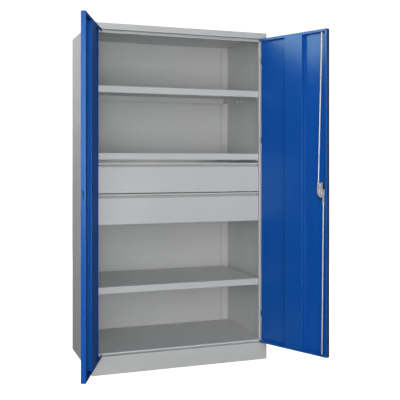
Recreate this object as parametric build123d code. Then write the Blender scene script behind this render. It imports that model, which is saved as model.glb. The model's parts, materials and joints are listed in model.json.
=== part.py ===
from build123d import *
import math
import os

# Overall size of the cabinet, in millimetres. The front plane is y = 0, the floor is z = 0.
cabinet_width = 1055.0
cabinet_depth = 620.0
cabinet_height = 1950.0

# Carcass
carcass_sheet = 1.5
back_sheet = 1.0
post_width = 29.5
post_depth = 70.0
post_lip = 12.0
post_fold_radius = 3.0
rear_flange = 48.0
fascia_height = 35.0
stop_setback = 34.0
stop_lip = 14.0
top_rear_flange = 20.0
plinth_height = 100.6
plinth_flange = 30.0
plinth_seam = 0.4
floor_step = 9.5
floor_rear_flange = 20.0
fit_gap = 0.3
foot_flange = 25.0

# Shelves: heights of their top faces
shelf_tops = {"upper": 1606.5, "middle": 1229.5, "lower": 478.5}
shelf_sheet = 1.5
shelf_front = 38.0
shelf_rear_gap = 9.5
shelf_end_gap = 6.5
shelf_lip = 38.0
shelf_return = 12.0

# Shelf brackets
bracket_sheet = 3.0
bracket_width = 16.0
bracket_plate = 30.0
bracket_tab = 16.0
bracket_tab_gap = 1.5
bracket_rib = 7.5
front_bracket_place = 51.0
rear_bracket_place = 362.0

# Doors
door_sheet = 1.2
door_thickness = 25.0
door_top_gap = 3.5
door_bottom_gap = 2.5
door_centre_gap = 4.0
door_hinge_gap = 7.8
door_free_lip = 25.0
door_end_lip = 14.0
door_hinge_flange = 6.0
right_door_open = 114.2
left_door_open = 111.3
stiffener_sheet = 1.0
stiffener_from_hinge = 191.0
stiffener_width = 128.0
stiffener_foot = 15.0

# Lift-off hinges
barrel_radius = 3.5
hinge_setback = 2.5
knuckle_length = 35.0
pin_radius = 2.0
pin_length = 30.0
running_gap = 0.05
knuckle_gap = 0.3
hinge_leaf_sheet = 1.5
frame_hinge_leaf = 20.0
door_hinge_leaf = 24.0
hinge_end_distance = 150.0
middle_hinge_height = 1290.0
hinge_notch_gap = 1.0

# Lock with turning handle, cam and two rods
lock_from_free_edge = 46.0
lock_height = 1007.0
rod_guide_offset = 7.5
pin_circle = 18.0
spindle_radius = 7.0
housing_sides = (-26.0, 22.0)
housing_ends = (-35.0, 49.0)
housing_corner = 5.0
housing_boss = (15.0, -22.0)
housing_boss_radius = 13.0
housing_depth = 9.4
case_screw_places = ((-20.0, 17.0), (12.0, 39.0))
case_screw_radius = 4.5
case_screw_depth = 2.4
cam_gap = 0.4
cam_sheet = 3.0
cam_radius = 24.0
tongue_width = 18.0
tongue_reach = 58.0
tongue_chamfer = 7.0
tongue_slot_gap = 1.0
cam_pin_radius = 3.5
cam_pin_cap_radius = 5.5
cam_pin_cap = 1.5
rod_radius = 4.0
rod_flat = 3.6
rod_flat_width = 14.0
rod_flat_length = 58.0
rod_top_gap = 0.5
guide_gap = 0.4
guide_play = 4.6
rose_radius = 26.0
rose_thickness = 2.5
handle_base_radius = 21.0
handle_base_depth = 11.0
grip_length = 52.0
grip_width = 15.0
grip_depth = 22.0
spindle_socket = 9.0
key_plug_radius = 5.5
key_plug_length = 20.0
key_slot = (1.4, 7.0, 12.0)
cam_screw_radius = 8.0
cam_screw_head = 3.6

# Drawers: heights of the lower edges of their fronts
drawer_bottoms = {"upper": 1003.0, "lower": 827.0}
drawer_sheet = 1.2
drawer_front_height = 171.0
drawer_front_face = 38.0
drawer_front_gap = 6.5
grip_lip = 8.0
grip_recess = 22.0
grip_back = 3.0
grip_foot = 25.0
front_top_return = 30.0
front_side_return = 13.0
front_bottom_return = 12.0
tray_lift = 15.0
tray_side_height = 113.0
tray_length = 520.0
tray_side_return = 12.0
tray_lip = 6.0

# Telescopic runners
runner_height = 45.7
runner_thickness = 12.7
runner_sheet = 1.5
runner_gap = 0.3
runner_start = 48.0
runner_length = 500.0
runner_centre_lift = 38.0
carrier_sheet = 2.0
carrier_height = 60.0
carrier_front_land = 22.0
carrier_joggle = 10.0
carrier_rear_land = 16.0
carrier_rear_slope = 45.0
carrier_rear_place = 590.0

# Places that follow from the sizes above
half_width = cabinet_width / 2
post_face = half_width - post_width
back_face = cabinet_depth - back_sheet
fascia_bottom = cabinet_height - fascia_height
ledge_bottom = plinth_height + plinth_seam
ledge_top = ledge_bottom + carcass_sheet
floor_top = ledge_top + floor_step
door_top = fascia_bottom - door_top_gap
door_bottom = ledge_top + door_bottom_gap
door_outer_edge = post_face - door_hinge_gap
door_free_edge = door_centre_gap / 2
hinge_x = post_face - door_hinge_gap / 2
hinge_heights = (
    door_bottom + hinge_end_distance,
    middle_hinge_height,
    door_top - hinge_end_distance,
)
shelf_half = post_face - shelf_end_gap
shelf_rear = back_face - carcass_sheet - shelf_rear_gap
lock_x = door_free_edge + lock_from_free_edge
guide_x = lock_x - rod_guide_offset
housing_face = door_sheet + housing_depth
cam_face = housing_face + cam_gap
rod_back = cam_face + cam_sheet + running_gap * 4
rod_centre_y = rod_back + rod_flat / 2
front_half = post_face - drawer_front_gap
tray_half = front_half - 2.8 - runner_thickness


def block(x0, x1, y0, y1, z0, z1):
    """A cuboid between two opposite corners."""
    return Pos(x0, y0, z0) * Box(x1 - x0, y1 - y0, z1 - z0, align=(Align.MIN, Align.MIN, Align.MIN))


def both_sides(x0, x1, y0, y1, z0, z1):
    """The same cuboid at the right and at the left of the middle plane."""
    right = block(x0, x1, y0, y1, z0, z1)
    return right + mirror(right, about=Plane.YZ)


def fold_line(points, sheet):
    """The closed outline of a folded sheet: the points are its outer face, its metal lies on their left."""
    outer = [Vector(x, y) for x, y in points]
    inner = []
    for n, corner in enumerate(outer):
        runs = []
        if n > 0:
            runs.append((corner - outer[n - 1]).normalized())
        if n < len(outer) - 1:
            runs.append((outer[n + 1] - corner).normalized())
        normals = [Vector(-run.Y, run.X) for run in runs]
        mitre = sum(normals, Vector(0, 0)).normalized()
        inner.append(corner + mitre * (sheet / mitre.dot(normals[0])))
    return outer + inner[::-1]


def along_x(points, sheet, x0, x1):
    """A sheet whose folds are drawn in Y and Z and run along X."""
    plane = Plane(origin=(x0, 0, 0), x_dir=(0, 1, 0), z_dir=(1, 0, 0))
    return extrude(plane * make_face(Polyline(*fold_line(points, sheet), close=True)), x1 - x0)


def along_y(points, sheet, y0, y1):
    """A sheet whose folds are drawn in X and Z and run along Y."""
    plane = Plane(origin=(0, y1, 0), x_dir=(1, 0, 0), z_dir=(0, -1, 0))
    return extrude(plane * make_face(Polyline(*fold_line(points, sheet), close=True)), y1 - y0)


def along_z(points, sheet, z0, z1):
    """A sheet whose folds are drawn in X and Y and run along Z."""
    plane = Plane(origin=(0, 0, z0), x_dir=(1, 0, 0), z_dir=(0, 0, 1))
    return extrude(plane * make_face(Polyline(*fold_line(points, sheet), close=True)), z1 - z0)


def rod_y(x, z, radius, y0, y1):
    """A round bar along Y."""
    return Pos(x, (y0 + y1) / 2, z) * Rot(90, 0, 0) * Cylinder(radius, y1 - y0)


def rod_z(x, y, radius, z0, z1):
    """A round bar along Z."""
    return Pos(x, y, (z0 + z1) / 2) * Cylinder(radius, z1 - z0)


def flip(shape):
    """The left-hand twin of a right-hand piece."""
    return mirror(shape, about=Plane.YZ)


def slot_z(x0, x1, y, radius, z0, z1):
    """A long hole through a level sheet, from x0 to x1 between the centres of its ends."""
    middle = block(x0, x1, y - radius, y + radius, z0, z1)
    return middle + rod_z(x0, y, radius, z0, z1) + rod_z(x1, y, radius, z0, z1)


def rod_slot(side, z0, z1):
    """The hole that a lock rod passes, longer to the side where the rod sways."""
    ends = sorted((guide_x - side * guide_gap, guide_x + side * (guide_play + guide_gap)))
    return slot_z(ends[0], ends[1], rod_centre_y, rod_radius + guide_gap, z0, z1)


def side_panel():
    """Right side of the carcass: outer wall, front post and rear flange folded from one sheet."""
    folds = [
        (post_face + post_lip, post_depth), (post_face, post_depth), (post_face, 0),
        (half_width, 0), (half_width, back_face), (half_width - rear_flange, back_face),
    ]
    panel = along_z(folds, carcass_sheet, 0, cabinet_height - carcass_sheet)
    front_edges = panel.edges().filter_by(Axis.Z).filter_by(lambda edge: edge.center().Y < 0.01)
    panel = fillet(front_edges, post_fold_radius)
    inner_wall = half_width - carcass_sheet
    for low, high in ((-1, ledge_top), (fascia_bottom, cabinet_height + 1)):
        panel -= block(post_face - 1, inner_wall, -1, post_depth + 1, low, high)
    for low, high in ((-1, plinth_height), (fascia_bottom, cabinet_height + 1)):
        panel -= block(inner_wall - 1, half_width + 1, -1, carcass_sheet, low, high)
    foot = block(inner_wall - foot_flange, inner_wall, plinth_flange + 1, back_face - carcass_sheet, 0, carcass_sheet)
    return panel + foot


def back_panel():
    """Flat back sheet, welded to the rear flanges of the two sides."""
    return block(-half_width, half_width, back_face, cabinet_depth, 0, cabinet_height)


def top_panel():
    """Roof, fascia and door stop folded from one sheet."""
    folds = [
        (back_face, cabinet_height - top_rear_flange), (back_face, cabinet_height), (0, cabinet_height),
        (0, fascia_bottom), (stop_setback, fascia_bottom), (stop_setback, fascia_bottom - stop_lip),
    ]
    panel = along_x(folds, carcass_sheet, -half_width, half_width)
    inner_wall = half_width - carcass_sheet
    below_roof = cabinet_height - carcass_sheet
    panel -= both_sides(inner_wall, half_width + 1, carcass_sheet, cabinet_depth, 0, below_roof)
    panel -= both_sides(post_face - fit_gap, half_width, stop_setback - 1, post_depth, 0, fascia_bottom)
    panel -= both_sides(inner_wall - rear_flange - fit_gap + carcass_sheet, half_width, post_depth, back_face + 1,
                        0, below_roof)
    return panel - rod_slot(1, fascia_bottom - 1, fascia_bottom + carcass_sheet + 1)


def bottom_panel():
    """Floor of the inside, with its step down to the ledge under the doors."""
    rear = back_face - carcass_sheet - fit_gap
    folds = [
        (rear, floor_top - floor_rear_flange), (rear, floor_top), (stop_setback, floor_top),
        (stop_setback, ledge_top), (0, ledge_top),
    ]
    reach = half_width - carcass_sheet - fit_gap
    panel = along_x(folds, carcass_sheet, -reach, reach)
    panel -= both_sides(post_face - fit_gap, half_width, stop_setback - 1, post_depth + fit_gap,
                        ledge_top, floor_top + 1)
    return panel - rod_slot(-1, ledge_bottom - 1, ledge_top + 1)


def plinth_front():
    """Plinth: a channel that closes the base below the doors."""
    folds = [(plinth_flange, plinth_height), (0, plinth_height), (0, 0), (plinth_flange, 0)]
    plinth = along_x(folds, carcass_sheet, -half_width, half_width)
    inner_wall = half_width - carcass_sheet
    plinth -= both_sides(inner_wall, half_width + 1, carcass_sheet, plinth_flange + 1, -1, plinth_height + 1)
    return plinth - rod_slot(-1, plinth_height - carcass_sheet - 1, plinth_height + 1)


def shelf(top):
    """Shelf tray: front and rear edges folded down and in, ends folded down."""
    low = top - shelf_lip
    folds = [
        (shelf_rear - shelf_return, low), (shelf_rear, low), (shelf_rear, top),
        (shelf_front, top), (shelf_front, low), (shelf_front + shelf_return, low),
    ]
    tray = along_x(folds, shelf_sheet, -shelf_half, shelf_half)
    return tray + both_sides(shelf_half - shelf_sheet, shelf_half, shelf_front, shelf_rear, low, top)


def shelf_brackets(top):
    """Four hooked brackets: two on the front posts, two on the side walls."""
    ledge = top - shelf_lip
    tab_face = shelf_half - shelf_sheet - bracket_tab_gap
    brackets = []
    for wall, place in ((post_face, front_bracket_place), (half_width - carcass_sheet, rear_bracket_place)):
        folds = [
            (wall, ledge + bracket_plate - bracket_sheet), (wall, ledge - bracket_sheet),
            (tab_face - bracket_sheet, ledge - bracket_sheet), (tab_face - bracket_sheet, ledge + bracket_tab),
        ]
        bracket = along_y(folds[::-1], bracket_sheet, place, place + bracket_width)
        bracket += block(tab_face - bracket_sheet, tab_face, place, place + bracket_width,
                         ledge - bracket_sheet - bracket_rib, ledge - bracket_sheet)
        brackets += [bracket, flip(bracket)]
    return Compound(children=brackets)


def frame_hinges():
    """Fixed halves of the right door's hinges: knuckle, pin and a leaf welded to the post."""
    halves = []
    for height in hinge_heights:
        bottom = height - knuckle_length
        top = height - knuckle_gap / 2
        half = rod_z(hinge_x, hinge_setback, barrel_radius, bottom, top)
        half += rod_z(hinge_x, hinge_setback, pin_radius, bottom, height + pin_length)
        half += block(post_face - hinge_leaf_sheet, post_face, hinge_setback, hinge_setback + frame_hinge_leaf,
                      bottom, top)
        halves.append(half)
    return halves


def door_hinges():
    """Moving halves of the right door's hinges, drawn with the door shut."""
    halves = []
    for height in hinge_heights:
        bottom = height + knuckle_gap / 2
        top = height + knuckle_length
        half = rod_z(hinge_x, hinge_setback, barrel_radius, bottom, top)
        half += block(door_outer_edge - door_hinge_leaf, hinge_x, door_sheet, door_sheet + hinge_leaf_sheet,
                      bottom, top)
        half -= rod_z(hinge_x, hinge_setback, pin_radius + running_gap, bottom - 1, height + pin_length + 1)
        halves.append(half)
    return halves


def door_leaf():
    """Door leaf without cut-outs for a lock, drawn shut at the right."""
    folds = [
        (door_free_edge + door_free_lip, door_thickness), (door_free_edge, door_thickness),
        (door_free_edge, 0), (door_outer_edge, 0), (door_outer_edge, door_hinge_flange),
    ]
    leaf = along_z(folds, door_sheet, door_bottom, door_top)
    for low, high, lip_low, lip_high in (
        (door_bottom, door_bottom + door_sheet, door_bottom, door_bottom + door_end_lip),
        (door_top - door_sheet, door_top, door_top - door_end_lip, door_top),
    ):
        leaf += block(door_free_edge, door_outer_edge, 0, door_thickness, low, high)
        leaf += block(door_free_edge, door_outer_edge, door_thickness - door_sheet, door_thickness,
                      lip_low, lip_high)
    for height in hinge_heights:
        leaf -= block(door_outer_edge - door_sheet, door_outer_edge + 1, door_sheet, door_hinge_flange + 1,
                      height - hinge_notch_gap, height + knuckle_length + hinge_notch_gap)
    return leaf


def tongue_slot(x0, x1, height_above):
    """The upright slot that the cam's tongue passes."""
    return block(x0, x1, cam_face - tongue_slot_gap, cam_face + cam_sheet + tongue_slot_gap,
                 lock_height - tongue_width / 2 - tongue_slot_gap, lock_height + height_above)


def tongue_rise(depth):
    """How far above the spindle the tongue's tip is when it crosses a plane at this distance."""
    swing = math.acos(depth / tongue_reach)
    return tongue_reach * math.sin(swing) + tongue_chamfer / 3 + tongue_slot_gap


def left_leaf():
    """Left leaf: the slot in its free edge takes the cam's tongue."""
    reach = lock_x + door_free_edge
    leaf = door_leaf()
    return leaf - tongue_slot(door_free_edge - 1, door_free_edge + door_sheet + 1, tongue_rise(reach))


def right_leaf():
    """Right leaf: holes for the spindle, the tongue and the two rods."""
    leaf = door_leaf()
    leaf -= rod_y(lock_x, lock_height, spindle_radius + fit_gap, -1, door_sheet + 1)
    reach = lock_x - door_free_edge - door_sheet
    leaf -= tongue_slot(door_free_edge - 1, door_free_edge + door_sheet + 1, tongue_rise(reach))
    leaf -= rod_slot(1, door_top - door_sheet - 1, door_top + 1)
    return leaf - rod_slot(-1, door_bottom - 1, door_bottom + door_sheet + 1)


def door_stiffener():
    """Hat profile inside a leaf, flush with the folded edges."""
    foot = door_sheet + stiffener_sheet
    outer = door_outer_edge - stiffener_from_hinge
    inner = outer - stiffener_width
    folds = [
        (outer + stiffener_foot, foot), (outer, foot), (outer, door_thickness),
        (inner, door_thickness), (inner, foot), (inner - stiffener_foot, foot),
    ]
    gap = door_end_lip + fit_gap
    return along_z(folds, stiffener_sheet, door_bottom + gap, door_top - gap)


def handle_rose():
    """Round rose under the handle, on the face of the leaf."""
    rose = rod_y(lock_x, lock_height, rose_radius, -rose_thickness, 0)
    return rose - rod_y(lock_x, lock_height, spindle_radius + running_gap, -rose_thickness - 1, 1)


def lock_housing():
    """Bearing housing behind the leaf's sheet: an upright case with a round boss at its lower corner."""
    left, right = housing_sides
    low, high = housing_ends
    case = block(lock_x + left, lock_x + right, door_sheet, housing_face, lock_height + low, lock_height + high)
    case = fillet(case.edges().filter_by(Axis.Y), housing_corner)
    boss_x, boss_z = housing_boss
    case += rod_y(lock_x + boss_x, lock_height + boss_z, housing_boss_radius, door_sheet, housing_face)
    for side, rise in case_screw_places:
        case -= rod_y(lock_x + side, lock_height + rise, case_screw_radius, housing_face - case_screw_depth,
                      housing_face + 1)
    return case - rod_y(lock_x, lock_height, spindle_radius + running_gap, 0, housing_face + 1)


def case_screws():
    """Two screws that hold the housing, their heads flush with its face."""
    return [rod_y(lock_x + side, lock_height + rise, case_screw_radius, housing_face - case_screw_depth, housing_face)
            for side, rise in case_screw_places]


def turn_handle():
    """Turning handle: round base and a wing grip with the key plug's bore."""
    base_back = -rose_thickness - fit_gap
    base_face = base_back - handle_base_depth
    grip_face = base_face - grip_depth
    base = rod_y(lock_x, lock_height, handle_base_radius, base_face, base_back)
    plane = Plane(origin=(lock_x, base_face + 1, lock_height), x_dir=(1, 0, 0), z_dir=(0, -1, 0))
    grip = extrude(plane * SlotOverall(grip_length, grip_width), grip_depth + 1, taper=4)
    handle = base + grip
    handle -= rod_y(lock_x, lock_height, spindle_radius + running_gap, base_back - spindle_socket, base_back + 1)
    return handle - rod_y(lock_x, lock_height, key_plug_radius + running_gap, grip_face - 1,
                          grip_face + key_plug_length)


def key_plug():
    """Key plug in the grip, with its key slot."""
    grip_face = -rose_thickness - fit_gap - handle_base_depth - grip_depth
    plug = rod_y(lock_x, lock_height, key_plug_radius, grip_face, grip_face + key_plug_length)
    width, height, deep = key_slot
    return plug - block(lock_x - width / 2, lock_x + width / 2, grip_face - 1, grip_face + deep,
                        lock_height - height / 2, lock_height + height / 2)


def lock_spindle():
    """Spindle from the handle's socket through the leaf to the cam."""
    return rod_y(lock_x, lock_height, spindle_radius, -rose_thickness - fit_gap - spindle_socket,
                 cam_face + cam_sheet)


def cam_plate():
    """Cam with its tongue upright, as it stands unlocked, and the two rod pins level."""
    back = cam_face + cam_sheet
    plane = Plane(origin=(lock_x, back, lock_height), x_dir=(1, 0, 0), z_dir=(0, -1, 0))
    half = tongue_width / 2
    tongue = Polyline(
        (-half, 0), (half, 0), (half, tongue_reach - tongue_chamfer),
        (half - tongue_chamfer, tongue_reach), (-half, tongue_reach), close=True,
    )
    outline = make_face(tongue) + Circle(cam_radius) - Circle(spindle_radius + running_gap)
    cam = extrude(plane * outline, cam_sheet)
    for side in (-pin_circle, pin_circle):
        cap = rod_back + rod_flat + running_gap * 4
        cam += rod_y(lock_x + side, lock_height, cam_pin_radius, back - 1, cap)
        cam += rod_y(lock_x + side, lock_height, cam_pin_cap_radius, cap, cap + cam_pin_cap)
    return cam


def cam_screw():
    """Flanged screw that holds the cam on the spindle."""
    back = cam_face + cam_sheet
    return rod_y(lock_x, lock_height, cam_screw_radius, back, back + cam_screw_head)


def lock_rod(side, end):
    """Lock rod from its cam pin to the height of its far end, leaning to the guide hole."""
    pin_x = lock_x + side * pin_circle
    rise = end - lock_height
    length = math.hypot(guide_x - pin_x, rise)
    lean = math.degrees(math.atan2(guide_x - pin_x, rise))
    plane = Plane(origin=(0, rod_back + rod_flat, 0), x_dir=(1, 0, 0), z_dir=(0, -1, 0))
    half = rod_flat_width / 2
    flat = make_face(Polyline((-half, 0), (half, 0), (half, rod_flat_length), (-half, rod_flat_length), close=True))
    flat += Circle(half)
    flat -= Circle(cam_pin_radius + running_gap)
    rod = extrude(plane * flat, rod_flat)
    rod += rod_z(0, rod_centre_y, rod_radius, rod_flat_length - half, length)
    return Pos(pin_x, 0, lock_height) * Rot(0, lean, 0) * rod


def drawer_front(bottom):
    """Drawer front with its full-width folded grip."""
    top = bottom + drawer_front_height
    face = drawer_front_face
    folds = [
        (face + front_top_return, top), (face, top), (face, top - grip_lip),
        (face + grip_recess, top - grip_lip), (face + grip_recess, top - grip_lip - grip_back),
        (face, top - grip_foot), (face, bottom), (face + front_bottom_return, bottom),
    ]
    front = along_x(folds, drawer_sheet, -front_half, front_half)
    return front + both_sides(front_half - drawer_sheet, front_half, face, face + front_side_return,
                              bottom, top - grip_foot)


def drawer_tray(bottom):
    """Drawer tray: floor, sides with folded rims, and back."""
    low = bottom + tray_lift
    high = low + tray_side_height
    rim = tray_half - tray_side_return
    folds = [
        (-rim, high - tray_lip), (-rim, high), (-tray_half, high), (-tray_half, low),
        (tray_half, low), (tray_half, high), (rim, high), (rim, high - tray_lip),
    ]
    front = drawer_front_face + drawer_sheet
    rear = front + tray_length
    tray = along_y(folds, drawer_sheet, front, rear)
    return tray + block(-tray_half, tray_half, rear - drawer_sheet, rear, low, high)


def runner_channel(web, reach, half_height, centre):
    """A C channel along Y: its web stands at x = web and its flanges reach to x = reach."""
    folds = [
        (reach, centre + half_height), (web, centre + half_height),
        (web, centre - half_height), (reach, centre - half_height),
    ]
    if reach < web:
        folds = folds[::-1]
    return along_y(folds, runner_sheet, runner_start, runner_start + runner_length)


def runner(bottom):
    """Right-hand runner: cabinet member, middle member and drawer member."""
    centre = bottom + runner_centre_lift
    outer_half = runner_height / 2
    middle_half = outer_half - runner_sheet - runner_gap
    inner_half = middle_half - runner_sheet - runner_gap
    outside = tray_half + runner_thickness
    cabinet = runner_channel(outside, tray_half + 3, outer_half, centre)
    drawer = runner_channel(tray_half, tray_half + 6.4, inner_half, centre)
    ribs = []
    for low, high in ((-middle_half, runner_sheet - middle_half), (middle_half - runner_sheet, middle_half)):
        ribs.append(block(tray_half + runner_sheet + runner_gap, outside - runner_sheet - runner_gap,
                          runner_start, runner_start + runner_length, centre + low, centre + high))
    web = tray_half + 6.4 + runner_gap
    middle = block(web, web + runner_sheet, runner_start, runner_start + runner_length,
                   centre - middle_half, centre + middle_half)
    for rib in ribs:
        middle += rib
    return cabinet, middle, drawer


def runner_bracket(bottom):
    """Folded bracket that carries a cabinet member from the post to the side wall."""
    centre = bottom + runner_centre_lift
    run = tray_half + runner_thickness + carrier_sheet
    wall = half_width - carcass_sheet
    folds = [
        (post_face, post_depth - carrier_front_land), (post_face, post_depth - 2),
        (run, post_depth - 2 + carrier_joggle), (run, carrier_rear_place - carrier_rear_slope),
        (wall, carrier_rear_place), (wall, carrier_rear_place + carrier_rear_land),
    ]
    return along_z(folds, carrier_sheet, centre - carrier_height / 2, centre + carrier_height / 2)


def right_door(shape):
    """A piece of the right door, turned from shut to where it stands open."""
    hinge = Axis((hinge_x, hinge_setback, 0), (0, 0, 1))
    return shape.rotate(hinge, right_door_open)


def left_door(shape):
    """A piece of the left door, drawn at the right, put at the left and turned open."""
    hinge = Axis((-hinge_x, hinge_setback, 0), (0, 0, 1))
    return flip(shape).rotate(hinge, -left_door_open)


def pair(right):
    """A right-hand piece and its left-hand twin."""
    return Compound(children=[right, flip(right)])


parts = {
    "side_panel_right": side_panel(),
    "side_panel_left": flip(side_panel()),
    "back_panel": back_panel(),
    "top_panel": top_panel(),
    "bottom_panel": bottom_panel(),
    "plinth_front": plinth_front(),
    "hinge_pins_right": Compound(children=frame_hinges()),
    "hinge_pins_left": Compound(children=[flip(half) for half in frame_hinges()]),
    "door_leaf_right": right_door(right_leaf()),
    "door_stiffener_right": right_door(door_stiffener()),
    "hinge_knuckles_right": Compound(children=[right_door(half) for half in door_hinges()]),
    "handle_rose": right_door(handle_rose()),
    "lock_housing": right_door(lock_housing()),
    "case_screws": Compound(children=[right_door(screw) for screw in case_screws()]),
    "turn_handle": right_door(turn_handle()),
    "key_plug": right_door(key_plug()),
    "lock_spindle": right_door(lock_spindle()),
    "cam_plate": right_door(cam_plate()),
    "cam_screw": right_door(cam_screw()),
    "upper_rod": right_door(lock_rod(1, door_top - rod_top_gap)),
    "lower_rod": right_door(lock_rod(-1, door_bottom + rod_top_gap)),
    "door_leaf_left": left_door(left_leaf()),
    "door_stiffener_left": left_door(door_stiffener()),
    "hinge_knuckles_left": Compound(children=[left_door(half) for half in door_hinges()]),
}
for place, top in shelf_tops.items():
    parts[f"shelf_{place}"] = shelf(top)
    parts[f"shelf_brackets_{place}"] = shelf_brackets(top)
for place, bottom in drawer_bottoms.items():
    cabinet_member, middle_member, drawer_member = runner(bottom)
    parts[f"{place}_drawer_front"] = drawer_front(bottom)
    parts[f"{place}_drawer_tray"] = drawer_tray(bottom)
    parts[f"{place}_drawer_members"] = pair(drawer_member)
    parts[f"{place}_middle_members"] = pair(middle_member)
    parts[f"{place}_cabinet_members"] = pair(cabinet_member)
    parts[f"{place}_runner_brackets"] = pair(runner_bracket(bottom))

os.makedirs("parts", exist_ok=True)
for name, shape in parts.items():
    export_step(shape, f"parts/{name}.step")
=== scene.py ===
"""Heavy-duty storage cabinet: paint, metal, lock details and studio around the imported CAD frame."""

import json
import math

import bmesh
import bpy
from mathutils import Matrix, Vector


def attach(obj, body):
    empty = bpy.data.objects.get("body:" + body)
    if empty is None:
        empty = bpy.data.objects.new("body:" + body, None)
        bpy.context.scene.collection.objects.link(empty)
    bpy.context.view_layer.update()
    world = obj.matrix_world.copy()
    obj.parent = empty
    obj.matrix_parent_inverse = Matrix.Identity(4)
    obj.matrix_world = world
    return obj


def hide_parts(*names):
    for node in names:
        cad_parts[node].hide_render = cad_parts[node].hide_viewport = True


bl_info = {
    "name": "Heavy-duty storage cabinet",
    "version": (1, 0, 0),
    "blender": (4, 5, 0),
    "location": "View3D > Sidebar > Cabinet",
    "description": "Paints and details a steel cabinet with double doors, shelves and drawers",
    "category": "Object",
}

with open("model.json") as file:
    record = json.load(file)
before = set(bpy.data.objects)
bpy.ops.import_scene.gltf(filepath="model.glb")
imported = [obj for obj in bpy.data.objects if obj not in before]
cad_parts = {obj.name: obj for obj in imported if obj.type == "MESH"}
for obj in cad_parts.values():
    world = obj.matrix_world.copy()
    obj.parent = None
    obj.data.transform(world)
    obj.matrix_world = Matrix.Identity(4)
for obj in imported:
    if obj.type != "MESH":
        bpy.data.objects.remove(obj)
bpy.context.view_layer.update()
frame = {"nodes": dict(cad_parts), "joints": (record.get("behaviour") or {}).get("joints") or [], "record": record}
joints = {joint["name"]: joint for joint in frame["joints"]}
right_hinge = joints["right_door_hinge"]
left_hinge = joints["left_door_hinge"]

MM = 0.001
# How far a point may lie from a named place and still count as on it
NEAR = 0.5 * MM

CARCASS_SHEETS = (
    "side_panel_right", "side_panel_left", "top_panel", "bottom_panel", "plinth_front",
    "shelf_upper", "shelf_middle", "shelf_lower", "upper_runner_brackets", "lower_runner_brackets",
)
DRAWER_SHEETS = ("upper_drawer_front", "lower_drawer_front", "upper_drawer_tray", "lower_drawer_tray")
DOOR_SHEETS = ("door_leaf_right", "door_leaf_left", "door_stiffener_right", "door_stiffener_left")
RUNNER_SHEETS = (
    "upper_cabinet_members", "lower_cabinet_members", "upper_middle_members", "lower_middle_members",
    "upper_drawer_members", "lower_drawer_members",
)
BRACKET_SHEETS = ("shelf_brackets_upper", "shelf_brackets_middle", "shelf_brackets_lower")

# Thickness of each kind of sheet, then the radius of its bends outside and inside
CARCASS_BENDS = (1.5 * MM, 2.6 * MM, 1.1 * MM)
DRAWER_BENDS = (1.2 * MM, 1.7 * MM, 0.6 * MM)
DOOR_BENDS = (1.2 * MM, 2.0 * MM, 0.8 * MM)
RUNNER_BENDS = (1.5 * MM, 1.4 * MM, 0.5 * MM)
BRACKET_BENDS = (3.0 * MM, 3.6 * MM, 0.6 * MM)

# A fold turns by more than this angle, and is longer and wider than these multiples of the sheet
FOLD_ANGLE = math.radians(20.0)
FOLD_LENGTH = 2.0
FOLD_WIDTH = 1.6

# Faces this close to one plane become one face, and edges up to the other two angles are shaded smooth
FLAT_ANGLE = math.radians(0.5)
SMOOTH_ANGLE = math.radians(35.0)
FINE_ANGLE = math.radians(25.0)

# Radius of the holes that the spindle and the key plug turn in
SPINDLE_HOLE = 7.05 * MM
PLUG_HOLE = 5.55 * MM

SLOT_MATERIALS = {
    "grey_paint": "light_grey_powder_coat", "blue_paint": "blue_powder_coat", "zinc": "bright_zinc",
    "nickel": "nickel_plate", "black_plastic": "black_plastic",
}


def deselect():
    """Leaves edit mode and empties the selection."""
    if bpy.context.object and bpy.context.object.mode != "OBJECT":
        bpy.ops.object.mode_set(mode="OBJECT")
    bpy.ops.object.select_all(action="DESELECT")


def activate(piece):
    """Selects one object alone and makes it active."""
    deselect()
    piece.select_set(True)
    bpy.context.view_layer.objects.active = piece


def apply_modifiers(piece):
    """Applies every modifier on a piece, in order."""
    activate(piece)
    for modifier in list(piece.modifiers):
        bpy.ops.object.modifier_apply(modifier=modifier.name)


def apply_place():
    """Puts the selected object's place into its mesh, with the object left at the origin."""
    bpy.ops.object.transform_apply(location=True, rotation=True, scale=True)


def place(piece, matrix):
    """Moves a piece's mesh, with the object left at the origin."""
    activate(piece)
    piece.matrix_world = matrix @ piece.matrix_world
    apply_place()


def name_piece(piece, name):
    """Gives an object and its mesh the same name."""
    piece.name = name
    piece.data.name = name


def break_edges(piece, width, segments, angle):
    """A small bevel on the edges sharper than an angle in degrees."""
    bevel = piece.modifiers.new("bevel", "BEVEL")
    bevel.width = width
    bevel.segments = segments
    bevel.limit_method = "ANGLE"
    bevel.angle_limit = math.radians(angle)
    bevel.harden_normals = False
    apply_modifiers(piece)


def even_normals(piece, angle=SMOOTH_ANGLE):
    """Smooth shading up to the angle that keeps the flat faces flat."""
    activate(piece)
    bpy.ops.object.shade_smooth_by_angle(angle=angle)
    weighted = piece.modifiers.new("weighted", "WEIGHTED_NORMAL")
    weighted.mode = "FACE_AREA"
    weighted.weight = 80
    weighted.keep_sharp = True
    apply_modifiers(piece)


def merge_faces(piece, threshold, outwards):
    """Merges doubles and makes flat faces whole, and turns all faces outwards if asked."""
    activate(piece)
    bpy.ops.object.mode_set(mode="EDIT")
    bpy.ops.mesh.select_all(action="SELECT")
    bpy.ops.mesh.remove_doubles(threshold=threshold)
    bpy.ops.mesh.dissolve_limited(angle_limit=FLAT_ANGLE)
    if outwards:
        bpy.ops.mesh.normals_make_consistent(inside=False)
    bpy.ops.object.mode_set(mode="OBJECT")


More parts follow.
